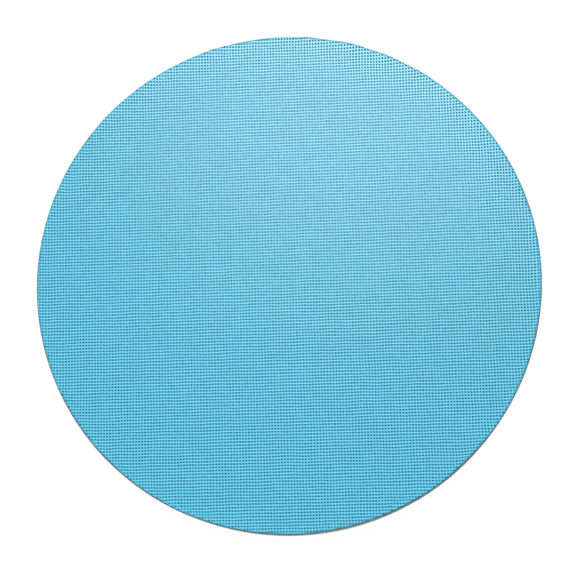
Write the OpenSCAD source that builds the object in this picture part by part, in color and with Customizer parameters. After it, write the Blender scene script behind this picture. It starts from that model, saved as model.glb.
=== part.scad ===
// Pivot disc for standing transfers. Two ribbed plates turn on each other on a ring of caged balls,
// held together by a centre pivot, and each plate is faced with a foam grip mat.
// The origin is the middle of the base mat's underside, where the disc rests, and +Z is up.

/* [Plates] */
// Outer diameter of both plates
disc_d = 400; // [340:5:460]
// Thickness of a plate's flat web
web_t = 3; // [2.4:0.1:5]
// Thickness of the rim wall
rim_t = 2.4; // [1.8:0.1:4]
// Width of the thin lip that frames the mat
lip_w = 0.9; // [0.8:0.1:1.8]
// Height of that lip above the web
lip_h = 2.8; // [1.6:0.1:3.2]
// Rounding of the rim's outer corners
rim_round = 0.5; // [0.3:0.1:0.7]
// Running gap between the two plates
run_gap = 1.6; // [1:0.1:2.6]
// Thickness of the stiffening ribs
rib_t = 2; // [1.4:0.1:3]
// Number of ribs that run from the hub to the rim
spoke_count = 12; // [8:1:16]
// Number of stiffening rings between the hub and the ball track
ring_count = 2; // [1:1:3]
// Diameter of the hub
hub_d = 40; // [36:1:56]

/* [Dust wall] */
// Distance from the rim to the base plate's wall that keeps dust out of the running gap
dust_inset = 8; // [5:0.5:14]
// Thickness of that wall
dust_t = 1.6; // [1.2:0.1:2.4]
// Height of that wall above the middle of the running gap
dust_rise = 1.4; // [0.6:0.1:1.8]
// Room round that wall in the top plate
dust_clear = 1; // [0.6:0.1:1.6]

/* [Grip mats] */
// Thickness of a foam mat
mat_t = 4; // [3:0.5:8]
// Gap between a mat's edge and the lip round it
mat_gap = 0.15; // [0.1:0.05:0.6]
// Rounding of a mat's outer edge
mat_round = 0.6; // [0.3:0.1:1.2]
// Thickness of the adhesive film under a mat
film_t = 0.3; // [0.2:0.05:0.5]
// Margin that the film leaves at the mat's edge
film_margin = 2; // [1:0.5:6]

/* [Ball race] */
// Distance from the rim to the circle that the balls run on
track_inset = 50; // [35:1:70]
// Diameter of a ball
ball_d = 6; // [5:0.25:7]
// Clearance between a ball and the bottom of its groove
ball_clear = 0.15; // [0.05:0.05:0.25]
// How much larger than the ball the groove's radius is
groove_relief = 0.3; // [0.25:0.05:0.6]
// Thickness of the pressed steel races
race_t = 1; // [0.8:0.1:1.5]
// Width of a race's inner flange, from the ball circle
race_inner_w = 8; // [7:0.5:12]
// Margin of the outer flange outside the screw heads
race_margin = 0.75; // [0.5:0.25:2]
// Gap between a race's edges and its seat
seat_clear = 0.4; // [0.2:0.1:0.8]
// Gap between a race's trough and the plate round it
trough_clear = 0.35; // [0.25:0.05:0.6]

/* [Ball cage] */
// Number of segments that clip together into the cage
cage_segments = 6; // [4:1:7]
// Number of balls in each segment
balls_per_segment = 6; // [4:1:7]
// Thickness of the cage
cage_t = 2.2; // [1.6:0.1:2.8]
// Gap between the cage and each race
cage_clear = 0.5; // [0.4:0.1:0.8]
// Radial clearance of a ball in its pocket
pocket_clear = 0.3; // [0.2:0.05:0.5]
// Wall between a pocket and the cage's edge
cage_wall = 1.7; // [1.3:0.1:2.5]
// Gap between neighbouring segments
segment_gap = 0.4; // [0.3:0.05:0.8]
// Diameter of the round tab that clips two segments together
tab_d = 4.4; // [3.6:0.1:5]
// Width of that tab's neck
tab_neck = 2.4; // [1.6:0.1:3]
// Distance from a segment's end to the middle of its tab
tab_reach = 3; // [2.6:0.1:4]
// Clearance of a tab in its socket
tab_clear = 0.25; // [0.15:0.05:0.35]

/* [Race screws] */
// Number of screws in each race
race_screws = 8; // [4:1:12]
// Diameter of a screw's shank
race_screw_d = 3; // [2.5:0.1:3.5]
// Diameter of a screw's head
race_screw_head_d = 5.5; // [5:0.1:6.5]
// Diameter of the flat on top of a screw's head
race_screw_crown_d = 3.8; // [3.4:0.1:4.6]
// Height of a screw's head
race_screw_head_h = 1.3; // [1:0.1:1.4]
// Height of the straight side of a screw's head
race_screw_side_h = 0.6; // [0.3:0.1:0.8]
// Length of the cross recess in a screw's head
recess_l = 3.2; // [2.4:0.1:3.4]
// Width of the cross recess
recess_w = 0.9; // [0.6:0.1:1.1]
// Depth of the cross recess
recess_h = 0.7; // [0.4:0.1:0.9]
// Thickness of the web left past the tip of a screw's hole
screw_floor = 0.6; // [0.4:0.1:1.4]
// Gap between the cage and the screw heads
screw_gap = 0.75; // [0.5:0.05:2]
// Wall of the plate round a screw's hole
boss_wall = 2; // [1.5:0.1:3]

/* [Centre pivot] */
// Outside diameter of the pivot barrel
pivot_d = 10; // [9:0.5:12]
// Diameter of the barrel's flat head
pivot_head_d = 24; // [20:1:30]
// Thickness of the barrel's head
pivot_head_t = 1.8; // [1.4:0.1:2.2]
// Width of the square neck that stops the barrel turning
neck_w = 13; // [12:0.5:14]
// Height of that neck
neck_h = 2; // [1.2:0.1:2.6]
// Diameter of the screw in the barrel
pivot_screw_d = 6; // [5:0.5:6.5]
// Diameter of that screw's head
pivot_screw_head_d = 18; // [14:1:22]
// Thickness of that screw's head
pivot_screw_head_t = 1.6; // [1.4:0.1:2]
// Width across flats of both hexagon sockets
socket_af = 4; // [3:0.5:4]
// Depth of both hexagon sockets
socket_depth = 1.2; // [0.8:0.1:1.3]
// Wall left at the closed end of the barrel
barrel_floor = 1.2; // [0.8:0.1:2]
// Room past the tip of the screw
tip_clear = 0.5; // [0.2:0.1:1]
// Wall of the bush
bush_wall = 2; // [1.5:0.1:3]
// Diameter of the bush's flange
bush_flange_d = 22; // [20:1:25]
// Thickness of the bush's flange
bush_flange_t = 1; // [0.8:0.1:1.4]
// Diameter of the retaining washer
washer_d = 26; // [23:1:28]
// Thickness of the retaining washer
washer_t = 1.2; // [0.8:0.1:1.5]
// Diameter of the thrust washer between the hubs
thrust_d = 34; // [24:1:36]
// Depth of the pivot's heads below the face of the web
pivot_sink = 0.25; // [0.1:0.05:0.5]

/* [Fits] */
// Radial running clearance of the bush on the barrel
run_fit = 0.05; // [0.02:0.01:0.1]
// Radial clearance of pieces that are fixed in their holes
fixed_fit = 0.05; // [0.02:0.01:0.1]
// End play of the top plate under the retaining washer and over the thrust washer
end_play = 0.15; // [0.1:0.05:0.3]
// Room round loose washers, heads and screws
loose_fit = 0.3; // [0.2:0.05:0.6]

/* [Hidden] */
$fn = 96;
// A small overlap that joins solids of one piece, or carries a cut past a face
over = 0.1;

mat_colour = "#74c3df";
plate_colour = "#66757c";
steel_colour = "#b9bcbe";
ball_colour = "#d5d7d9";
nylon_colour = "#e6e3d6";
film_colour = "#dcd8c8";

// Heights are measured outwards from the plane midway between the plates, so both halves share them.
ball_r = ball_d / 2;
groove_r = ball_r + groove_relief;
groove_z = ball_clear - groove_relief;
flange_in = cage_t / 2 + cage_clear;
flange_out = flange_in + race_t;
trough_out = ball_r + ball_clear + race_t;
rib_end = run_gap / 2;
web_in = trough_out + trough_clear;
web_out = web_in + web_t;
lip_top = web_out + lip_h;
mat_in = web_out + film_t;
mat_out = mat_in + mat_t;
mid_z = mat_out;
screw_hole_end = web_out - screw_floor;
race_screw_tip = screw_hole_end - loose_fit;

// Radii, and widths measured from the ball circle
disc_r = disc_d / 2;
rim_in_r = disc_r - rim_t;
mat_r = disc_r - lip_w - mat_gap;
dust_out_r = disc_r - dust_inset;
dust_in_r = dust_out_r - dust_t;
track_r = disc_r - track_inset;
trough_r = groove_r + race_t;
trough_half = sqrt(pow(trough_r, 2) - pow(flange_out - groove_z, 2));
rail_half = trough_half + trough_clear;
pocket_r = ball_r + pocket_clear;
cage_half = pocket_r + cage_wall;
screw_offset = cage_half + screw_gap + race_screw_head_d / 2;
race_outer_w = screw_offset + race_screw_head_d / 2 + race_margin;
seat_in_r = track_r - race_inner_w - seat_clear;
seat_out_r = track_r + race_outer_w + seat_clear;
hub_r = hub_d / 2;
ring_pitch = (seat_in_r - hub_r) / (ring_count + 1);

// Angles
full_turn = 360;
rib_pitch = full_turn / (2 * spoke_count);
screw_pitch = full_turn / race_screws;
segment_pitch = full_turn / cage_segments;
ball_pitch = segment_pitch / balls_per_segment;
gap_angle = segment_gap / track_r * 180 / PI;

// Heights of the pivot's pieces, in the top plate's half
well_depth = bush_flange_t + end_play + washer_t + pivot_screw_head_t + pivot_sink;
well_floor = web_out - well_depth;
barrel_end = well_floor + bush_flange_t + end_play;
washer_out = barrel_end + washer_t;
screw_head_out = washer_out + pivot_screw_head_t;
bush_d = pivot_d + 2 * (run_fit + bush_wall);

// Heights of the pivot's pieces, in the base plate's half
head_in = web_out - pivot_sink - pivot_head_t;
head_out = head_in + pivot_head_t;
barrel_bore_end = head_out - socket_depth - barrel_floor;
pivot_screw_tip = barrel_bore_end - tip_clear;

cage_names = [for (i = [1:cage_segments]) str("cage_segment_", i)];

// The upper half is drawn outwards along +Z, and the lower half is its mirror image.
module upper_half() { translate([0, 0, mid_z]) children(); }
module lower_half() { translate([0, 0, mid_z]) mirror([0, 0, 1]) children(); }

// A flat ring between two radii and two heights
module band(r_in, r_out, z_from, z_to) {
    rotate_extrude()
        translate([r_in, z_from])
            square([r_out - r_in, z_to - z_from]);
}

// A round peg or hole between two heights
module round_bar(d, z_from, z_to) {
    translate([0, 0, z_from])
        cylinder(d = d, h = z_to - z_from);
}

// A square peg or hole between two heights
module square_bar(width, z_from, z_to) {
    translate([-width / 2, -width / 2, z_from])
        cube([width, width, z_to - z_from]);
}

// A hexagon socket that opens outwards at a height
module hex_socket(z_open) {
    translate([0, 0, z_open - socket_depth])
        cylinder(d = socket_af / cos(30), h = socket_depth + over, $fn = 6);
}

// What a rounded corner takes off a square one, the corner pointing up and to the right
module corner_waste(r) {
    difference() {
        square(r + over);
        circle(r = r);
    }
}

// A bar's section whose upper right corner is rounded, and its lower right one too if asked
module bar_profile(x_from, x_to, y_from, y_to, r, both) {
    difference() {
        translate([x_from, y_from])
            square([x_to - x_from, y_to - y_from]);
        translate([x_to - r, y_to - r])
            corner_waste(r);
        if (both)
            translate([x_to - r, y_from + r])
                mirror([0, 1])
                    corner_waste(r);
    }
}

// Each child, once at every race screw, halfway between two ribs
module at_race_screws() {
    for (i = [0:race_screws - 1])
        rotate(rib_pitch / 2 + i * screw_pitch)
            translate([track_r + screw_offset, 0, 0])
                children();
}

// Each child, once at every ball of one cage segment
module at_balls_of(segment) {
    for (i = [0:balls_per_segment - 1])
        rotate((segment - 1) * segment_pitch + (i + 0.5) * ball_pitch)
            translate([track_r, 0, 0])
                children();
}

// Web, rim wall and the lip that frames the mat
module plate_shell() {
    rotate_extrude() {
        translate([0, web_in])
            square([rim_in_r + over, web_t]);
        translate([rim_in_r, rib_end])
            square([rim_t - lip_w + over, web_out - rib_end]);
        bar_profile(disc_r - lip_w, disc_r, rib_end, lip_top, rim_round, true);
    }
}

// Ribs that run out to the rim, every second one starting at the outermost stiffening ring
module spokes() {
    for (i = [0:2 * spoke_count - 1]) {
        r_from = i % 2 == 0 ? hub_r - over : hub_r + ring_count * ring_pitch;
        rotate(i * rib_pitch)
            translate([r_from, -rib_t / 2, rib_end])
                cube([rim_in_r + over - r_from, rib_t, web_in + over - rib_end]);
    }
}

// Stiffening rings, and the two rails that carry the race on either side of its trough
module rings() {
    for (i = [1:ring_count]) {
        r = hub_r + i * ring_pitch;
        band(r - rib_t / 2, r + rib_t / 2, rib_end, web_in + over);
    }
    band(track_r - rail_half - rib_t, track_r - rail_half, flange_out, web_in + over);
    band(track_r + rail_half, track_r + rail_half + rib_t, flange_out, web_in + over);
}

// Room for the race: a seat for its flanges and a channel for its trough
module track_cut() {
    band(seat_in_r, seat_out_r, rib_end - over, flange_out);
    band(track_r - rail_half, track_r + rail_half, rib_end - over, web_in);
}

// A ribbed plate with a plain hub and the holes for the race's screws
module ribbed_plate() {
    difference() {
        union() {
            plate_shell();
            difference() {
                union() {
                    spokes();
                    rings();
                }
                track_cut();
            }
            at_race_screws() round_bar(race_screw_d + 2 * boss_wall, flange_out, web_in + over);
            round_bar(hub_d, rib_end, web_in + over);
        }
        at_race_screws() round_bar(race_screw_d + 2 * fixed_fit, flange_out - over, screw_hole_end);
    }
}

// A foam mat with a softly rounded outer edge
module grip_mat() {
    rotate_extrude()
        bar_profile(0, mat_r, mat_in, mat_out, mat_round, false);
}

module mat_film() { round_bar(2 * (mat_r - film_margin), web_out, mat_in); }

// A pressed steel race: a trough for the balls between two flat flanges
module race() {
    difference() {
        rotate_extrude()
            difference() {
                union() {
                    translate([track_r - race_inner_w, flange_in])
                        square([race_inner_w + race_outer_w, race_t]);
                    intersection() {
                        translate([track_r, groove_z])
                            circle(r = trough_r);
                        translate([track_r - trough_r, flange_in + race_t / 2])
                            square([2 * trough_r, trough_r + race_t]);
                    }
                }
                translate([track_r, groove_z])
                    circle(r = groove_r);
            }
        at_race_screws() round_bar(race_screw_d + 2 * loose_fit, flange_in - over, flange_out + over);
    }
}

// Pan-head screws with a cross recess, their heads towards the balls
module race_screw_set() {
    crown_z = flange_in - race_screw_head_h;
    side_z = flange_in - race_screw_side_h;
    at_race_screws()
        difference() {
            union() {
                round_bar(race_screw_d, flange_in - over, race_screw_tip);
                round_bar(race_screw_head_d, side_z, flange_in);
                translate([0, 0, crown_z])
                    cylinder(d1 = race_screw_crown_d, d2 = race_screw_head_d, h = side_z - crown_z);
            }
            for (turn = [0, 90])
                rotate(turn)
                    translate([-recess_l / 2, -recess_w / 2, crown_z - over])
                        cube([recess_l, recess_w, recess_h + over]);
        }
}

// The outline of the tab that joins two cage segments, at an angle round the track
module tab_outline(angle, clear) {
    rotate(angle)
        translate([track_r, 0])
            rotate(90) {
                translate([-segment_gap, -tab_neck / 2 - clear])
                    square([tab_reach + segment_gap, tab_neck + 2 * clear]);
                translate([tab_reach, 0])
                    circle(d = tab_d + 2 * clear);
            }
}

// One arc of the cage, with a tab at its leading end and a socket at its trailing end
module cage_arc(segment) {
    start = (segment - 1) * segment_pitch + gap_angle / 2;
    end = segment * segment_pitch - gap_angle / 2;
    reach = 2 * (track_r + cage_half);
    translate([0, 0, mid_z - cage_t / 2])
        linear_extrude(height = cage_t)
            difference() {
                union() {
                    intersection() {
                        difference() {
                            circle(r = track_r + cage_half);
                            circle(r = track_r - cage_half);
                        }
                        polygon([
                            [0, 0],
                            reach * [cos(start), sin(start)],
                            reach * [cos((start + end) / 2), sin((start + end) / 2)],
                            reach * [cos(end), sin(end)]
                        ]);
                    }
                    tab_outline(end, 0);
                }
                tab_outline(start - gap_angle, tab_clear);
                at_balls_of(segment) circle(r = pocket_r);
            }
}

module top_grip_mat() { color(mat_colour) upper_half() grip_mat(); }
module top_mat_film() { color(film_colour) upper_half() mat_film(); }

// The plate that turns, with a well in its hub for the pivot and a groove over the dust wall
module top_plate() {
    color(plate_colour)
        upper_half()
            difference() {
                ribbed_plate();
                band(dust_in_r - dust_clear, dust_out_r + dust_clear, rib_end - over, dust_rise + dust_clear);
                round_bar(washer_d + 2 * loose_fit, well_floor, web_out + over);
                round_bar(bush_d + 2 * fixed_fit, rib_end - over, well_floor + over);
            }
}

module upper_race() { color(steel_colour) upper_half() race(); }
module upper_race_screws() { color(steel_colour) upper_half() race_screw_set(); }

// Flanged bush that turns on the barrel
module pivot_bush() {
    flange_z = well_floor + bush_flange_t;
    color(nylon_colour)
        upper_half()
            difference() {
                union() {
                    round_bar(bush_d, rib_end, flange_z);
                    round_bar(bush_flange_d, well_floor, flange_z);
                }
                round_bar(pivot_d + 2 * run_fit, rib_end - over, flange_z + over);
            }
}

module bearing_balls() {
    color(ball_colour)
        translate([0, 0, mid_z])
            for (segment = [1:cage_segments])
                at_balls_of(segment) sphere(d = ball_d);
}

module cage_segment(segment) { color(nylon_colour) cage_arc(segment); }

module lower_race() { color(steel_colour) lower_half() race(); }
module lower_race_screws() { color(steel_colour) lower_half() race_screw_set(); }

// The plate that stays on the floor, with the dust wall and a square pocket that holds the barrel still
module base_plate() {
    pocket_floor = head_in - neck_h - loose_fit;
    color(plate_colour)
        lower_half()
            difference() {
                union() {
                    ribbed_plate();
                    band(dust_in_r, dust_out_r, -dust_rise, web_in + over);
                }
                round_bar(pivot_head_d + 2 * loose_fit, head_in, web_out + over);
                square_bar(neck_w + 2 * fixed_fit, pocket_floor, head_in + over);
                round_bar(pivot_d + 2 * fixed_fit, rib_end - over, pocket_floor + over);
            }
}

module base_mat_film() { color(film_colour) lower_half() mat_film(); }
module base_grip_mat() { color(mat_colour) lower_half() grip_mat(); }

// Barrel nut: a flat head, a square neck and the journal that the bush turns on
module pivot_barrel() {
    color(steel_colour)
        lower_half()
            difference() {
                union() {
                    round_bar(pivot_d, -barrel_end, head_out);
                    square_bar(neck_w, head_in - neck_h, head_in + over);
                    round_bar(pivot_head_d, head_in, head_out);
                }
                round_bar(pivot_screw_d + 2 * fixed_fit, -barrel_end - over, barrel_bore_end);
                hex_socket(head_out);
            }
}

// Flat-headed screw that closes the barrel from above
module pivot_screw() {
    color(steel_colour)
        upper_half()
            difference() {
                union() {
                    round_bar(pivot_screw_d, -pivot_screw_tip, screw_head_out);
                    round_bar(pivot_screw_head_d, washer_out, screw_head_out);
                }
                hex_socket(screw_head_out);
            }
}

module retaining_washer() {
    color(steel_colour)
        upper_half()
            difference() {
                round_bar(washer_d, barrel_end, washer_out);
                round_bar(pivot_screw_d + 2 * fixed_fit, barrel_end - over, washer_out + over);
            }
}

module thrust_washer() {
    color(nylon_colour)
        lower_half()
            difference() {
                round_bar(thrust_d, end_play - rib_end, rib_end);
                round_bar(pivot_d + 2 * loose_fit, end_play - rib_end - over, rib_end + over);
            }
}

top_grip_mat();
top_mat_film();
top_plate();
upper_race();
upper_race_screws();
pivot_bush();
bearing_balls();
lower_race();
lower_race_screws();
base_plate();
base_mat_film();
base_grip_mat();
pivot_barrel();
pivot_screw();
retaining_washer();
thrust_washer();
for (i = [1:cage_segments])
    cage_segment(i);
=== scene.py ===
"""Looks of a standing pivot disc: pitted foam mats, moulded plates, plated ball race and centre pivot."""

import functools
import math

import bpy
from mathutils import Matrix, Vector


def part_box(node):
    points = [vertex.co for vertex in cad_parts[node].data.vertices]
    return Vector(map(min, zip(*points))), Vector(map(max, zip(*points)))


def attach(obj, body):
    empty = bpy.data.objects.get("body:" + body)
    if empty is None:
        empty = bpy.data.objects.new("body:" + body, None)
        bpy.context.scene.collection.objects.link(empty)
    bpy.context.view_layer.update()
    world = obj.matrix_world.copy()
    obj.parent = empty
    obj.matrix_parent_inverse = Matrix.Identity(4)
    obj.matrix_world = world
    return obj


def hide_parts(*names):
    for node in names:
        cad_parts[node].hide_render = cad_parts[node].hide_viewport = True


bl_info = {
    "name": "Pivot disc",
    "version": (1, 0, 0),
    "blender": (4, 5, 0),
    "location": "View3D > Sidebar > Pivot disc",
    "description": "Dresses a pivot disc with pitted foam mats, moulded plates and plated steel",
    "category": "Object",
}

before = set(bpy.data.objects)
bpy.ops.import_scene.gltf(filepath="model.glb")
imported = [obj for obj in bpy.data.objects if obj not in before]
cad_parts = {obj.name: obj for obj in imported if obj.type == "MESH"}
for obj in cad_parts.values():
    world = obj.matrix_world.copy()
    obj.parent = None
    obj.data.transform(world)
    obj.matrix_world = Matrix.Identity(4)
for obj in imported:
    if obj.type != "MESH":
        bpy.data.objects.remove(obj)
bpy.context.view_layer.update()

MM = 0.001
IMAGE_PX = 576
SENSOR_WIDTH_MM = 36.0

# Names of the maps that the mat's tree writes; its material reads the cell map
CELL_MAP = "pit_cells"
BAKE_MAP = "OFBake"

# Mat settings that the mat's tree takes as they are
MAT_SIZES = (
    "Cell Width", "Cell Length", "Grid Turn", "Pit Width", "Pit Length", "Pit Depth", "Pit Lean",
    "Edge Round", "Waver", "Waver Reach", "Edge Waver", "Edge Waver Reach",
)

# Kinds of node that are used most
MATH = "ShaderNodeMath"
VECTOR_MATH = "ShaderNodeVectorMath"
MAP_RANGE = "ShaderNodeMapRange"
COMBINE = "ShaderNodeCombineXYZ"
NOISE = "ShaderNodeTexNoise"
MIX = "ShaderNodeMix"
COMPARE = "FunctionNodeCompare"
SET_POSITION = "GeometryNodeSetPosition"

# Range that most values of a noise lie in
NOISE_RANGE = {"From Min": 0.3, "From Max": 0.7}


def linear(hex_text):
    """Linear RGBA of an sRGB hex colour."""
    shares = [int(hex_text[start:start + 2], 16) / 255 for start in (1, 3, 5)]
    return [s / 12.92 if s <= 0.04045 else ((s + 0.055) / 1.055) ** 2.4 for s in shares] + [1.0]


def length_property(name, description, default_mm):
    """Property that holds a length, written here in millimetres."""
    return bpy.props.FloatProperty(
        name=name, description=description, default=default_mm * MM,
        precision=5, unit="LENGTH", subtype="DISTANCE",
    )


def angle_property(name, description, default_deg):
    """Property that holds an angle, written here in degrees."""
    return bpy.props.FloatProperty(
        name=name, description=description, default=math.radians(default_deg),
        unit="ROTATION", subtype="ANGLE",
    )


def colour_property(name, description, default_hex):
    """Property that holds a colour, written here as an sRGB hex value."""
    return bpy.props.FloatVectorProperty(
        name=name, description=description, default=linear(default_hex),
        size=4, min=0.0, max=1.0, subtype="COLOR",
    )


def power_property(name, description, default_watts):
    """Property that holds a lamp's power."""
    return bpy.props.FloatProperty(
        name=name, description=description, default=default_watts, min=0.0, unit="POWER"
    )


class GripMatSettings(bpy.types.PropertyGroup):
    """Sizes and colours of the two foam grip mats."""

    cell_width: length_property("Cell width", "Pitch of the pits along X", 2.315)
    cell_length: length_property("Cell length", "Pitch of the pits along Y", 2.407)
    grid_turn: angle_property("Grid turn", "How far the grid is turned on the disc", 1.3)
    pit_width: length_property("Pit width", "Width of a pit's mouth along X", 1.3)
    pit_length: length_property("Pit length", "Length of a pit's mouth along Y", 1.3)
    pit_depth: length_property("Pit depth", "Depth of a pit below the strands", 0.7)
    pit_lean: bpy.props.FloatProperty(
        name="Pit lean", description="Sideways lean of a pit's mouth for its length",
        default=0.35, subtype="FACTOR",
    )
    edge_round: length_property("Edge rounding", "Radius of the mat's cut edge", 0.3)
    waver: length_property("Waver", "How far the rows of pits stray from a straight line", 0.7)
    waver_reach: length_property("Waver reach", "Length over which the rows stray", 22.0)
    edge_waver: length_property("Edge waver", "How far the hand-cut edge strays from the circle", 0.4)
    edge_waver_reach: length_property("Edge waver reach", "Length over which the cut edge strays", 25.0)
    edge_slip: bpy.props.FloatVectorProperty(
        name="Edge slip", description="How far the mat lies to one side above its recess",
        default=(0.18 * MM, 0.38 * MM, 0.0), precision=5, unit="LENGTH", subtype="TRANSLATION",
    )
    strand_colour: colour_property("Strand colour", "Foam on the raised strands", "#5cd0ed")
    # The pit colour is painted shade: the foam's blue darkened as the pits' recesses would be in shade
    pit_shade_colour: colour_property("Pit colour", "Foam at the bottom of the pits", "#00668a")


class FinishSettings(bpy.types.PropertyGroup):
    """Colours of the plates and of the parts between them."""

    plate_colour: colour_property("Plate", "Moulded polypropylene of both plates", "#66757c")
    zinc_colour: colour_property("Zinc plating", "Races, screws and pivot", "#bcc2c4")
    ball_colour: colour_property("Balls", "Polished bearing steel", "#d4d7d8")
    nylon_colour: colour_property("Nylon", "Cage, bush and thrust washer", "#e6e1d3")
    film_colour: colour_property("Adhesive film", "Film under each mat", "#ddd7c2")


class ThreadSettings(bpy.types.PropertyGroup):
    """Places of the screws and sizes of their threads."""

    race_screws: bpy.props.IntProperty(
        name="Race screws", description="Number of screws in each race", default=8, min=1
    )
    ring_radius: length_property("Screw ring", "Radius of the ring that the race's screws lie on", 158.5)
    first_bearing: angle_property("First screw", "Bearing of the first race screw from X", 7.5)
    race_shank: length_property("Race screw shank", "Diameter of a race screw's shank", 3.0)
    race_neck: length_property("Race screw neck", "Head and plain neck of a race screw", 2.7)
    race_pitch: length_property("Race screw pitch", "Pitch of a race screw's thread", 1.3)
    race_ridge: length_property("Race screw ridge", "Height of a race screw's thread", 0.35)
    pivot_shank: length_property("Pivot screw shank", "Diameter of the pivot screw's shank", 6.0)
    pivot_neck: length_property("Pivot screw neck", "Head and plain neck of the pivot screw", 3.4)
    pivot_pitch: length_property("Pivot screw pitch", "Pitch of the pivot screw's thread", 1.0)
    pivot_ridge: length_property("Pivot screw ridge", "Height of the pivot screw's thread", 0.22)


class RaceSettings(bpy.types.PropertyGroup):
    """Sizes of the pressed races."""

    track_radius: length_property("Track radius", "Radius of the ring that the balls run on", 150.0)
    groove_radius: length_property("Groove radius", "Radius of the groove round a ball", 3.3)
    groove_height: length_property("Groove height", "Middle of the groove from the balls' plane", -0.15)
    sheet: length_property("Sheet", "Thickness of the pressed sheet", 1.0)
    inner_width: length_property("Inner flange", "From the track to the inner edge", 8.0)
    outer_width: length_property("Outer flange", "From the track to the outer edge", 12.0)
    hole: length_property("Screw hole", "Diameter of a punched screw hole", 3.6)


class StageSettings(bpy.types.PropertyGroup):
    """Camera and studio light."""

    camera_distance: length_property("Camera distance", "From the middle of the upper mat", 1293.0)
    camera_tilt: angle_property("Camera tilt", "Lean of the line of sight from the vertical", 11.17)
    camera_turn: angle_property("Camera turn", "Side the camera leans to, from the front", 19.0)
    focal_px: bpy.props.FloatProperty(
        name="Focal length", description="Focal length in pixels of the square image",
        default=1638.5, min=1.0,
    )
    aim_right: length_property("Aim right", "Aim beside the mat's middle, to the image's right", 0.95)
    aim_down: length_property("Aim down", "Aim beside the mat's middle, to the image's bottom", 7.1)
    back_size: length_property("Back softbox size", "Side of the square softbox behind", 1400.0)
    back_distance: length_property("Back softbox distance", "From the disc", 4000.0)
    back_lean: angle_property("Back softbox lean", "Lean from the vertical", 23.5)
    back_turn: angle_property("Back softbox turn", "Side it leans to, from the front", 180.0)
    back_power: power_property("Back softbox power", "Light of the softbox behind", 120.0)
    front_size: length_property("Front softbox size", "Side of the square softbox in front", 800.0)
    front_distance: length_property("Front softbox distance", "From the disc", 1300.0)
    front_lean: angle_property("Front softbox lean", "Lean from the vertical", 45.0)
    front_turn: angle_property("Front softbox turn", "Side it leans to, from the front", -20.0)
    front_power: power_property("Front softbox power", "Light of the softbox in front", 5.5)
    fill_strength: bpy.props.FloatProperty(
        name="Fill", description="Even light from all round",
        default=0.14, min=0.0, max=1.0, subtype="FACTOR",
    )


class PivotDiscSettings(bpy.types.PropertyGroup):
    """All settings of the pivot disc."""

    mats: bpy.props.PointerProperty(type=GripMatSettings, name="Mats", description="Grip mats")
    finish: bpy.props.PointerProperty(
        type=FinishSettings, name="Finish", description="Plates and inner parts"
    )
    threads: bpy.props.PointerProperty(type=ThreadSettings, name="Threads", description="Screw threads")
    races: bpy.props.PointerProperty(type=RaceSettings, name="Races", description="Pressed races")
    stage: bpy.props.PointerProperty(type=StageSettings, name="Stage", description="Camera and light")


def add_node(tree, kind, inputs=None, operation=None, **settings):
    """Adds a node with its settings, fills or links its inputs by name or number, and gives its outputs."""
    node = tree.nodes.new(kind)
    if operation:
        node.operation = operation
    for setting, value in settings.items():
        setattr(node, setting, value)
    for key, value in (inputs or {}).items():
        if isinstance(value, bpy.types.NodeSocket):
            tree.links.new(value, node.inputs[key])
        else:
            node.inputs[key].default_value = value
    return node.outputs


def new_tree(name, floats, others):
    """Empty geometry tree with named inputs, add_node for that tree, and the sockets of its inputs."""
    tree = bpy.data.node_groups.new(name, "GeometryNodeTree")
    kinds = {**others, **{label: "NodeSocketFloat" for label in floats}, "Material": "NodeSocketMaterial"}
    for label, kind in kinds.items():
        tree.interface.new_socket(label, in_out="INPUT", socket_type=kind)
    tree.interface.new_socket("Piece", in_out="OUTPUT", socket_type="NodeSocketGeometry")
    add = functools.partial(add_node, tree)
    return tree, add, add("NodeGroupInput")


def home_cell(add, cells):
    """Socket of the number of the cell that a place is in, where a pit lies in the middle of each."""
    moved = add(VECTOR_MATH, {0: cells, 1: (0.5, 0.5, 0.0)}, "ADD")[0]
    return add(VECTOR_MATH, {0: moved}, "FLOOR")[0]


def creased(add, mesh, limit_deg):
    """Socket of a smooth mesh whose edges are sharp where they bend more than a limit."""
    bend = add("GeometryNodeInputMeshEdgeAngle")[0]
    limit = math.radians(limit_deg)
    sharp = add(COMPARE, {0: bend, 1: limit}, "GREATER_THAN")[0]
    return add("GeometryNodeSetShadeSmooth", {0: mesh, 1: sharp, 2: False}, domain="EDGE")[0]


def finish_tree(add, geometry, sizes):
    """Ends a tree with real geometry in its material."""
    real = add("GeometryNodeRealizeInstances", {0: geometry})[0]
    finished = add("GeometryNodeSetMaterial", {0: real, "Material": sizes["Material"]})[0]
    add("NodeGroupOutput", {0: finished})


def make_piece(context, name, tree, values, blank=None):
    """Runs a tree with these inputs, on a blank if it takes one, and keeps its result as a plain mesh."""
    maker = bpy.data.objects.new("maker", blank or bpy.data.meshes.new("maker"))
    context.scene.collection.objects.link(maker)
    modifier = maker.modifiers.new(tree.name, "NODES")
    modifier.node_group = tree
    for socket in tree.interface.items_tree:
        if socket.in_out == "INPUT" and socket.socket_type != "NodeSocketGeometry":
            modifier[socket.identifier] = values[socket.name]
    shaped = maker.evaluated_get(context.evaluated_depsgraph_get())
    mesh = bpy.data.meshes.new_from_object(shaped)
    bpy.data.objects.remove(maker)
    mesh.name = name
    piece = bpy.data.objects.new(name, mesh)
    context.scene.collection.objects.link(piece)
    return piece


def dress(nodes, material):
    """Puts a material on CAD nodes."""
    for name in nodes:
        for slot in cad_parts[name].material_slots:
            slot.material = material


def cleared(owner):
    """Clears the node tree of a material or world, and gives add_node for that tree."""
    owner.use_nodes = True
    owner.node_tree.nodes.clear()
    return functools.partial(add_node, owner.node_tree)


def new_material(name):
    """Empty node material of that name, add_node for its tree, and the place on the object."""
    material = bpy.data.materials.new(name)
    add = cleared(material)
    return material, add, add("ShaderNodeTexCoord")["Object"]


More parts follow.
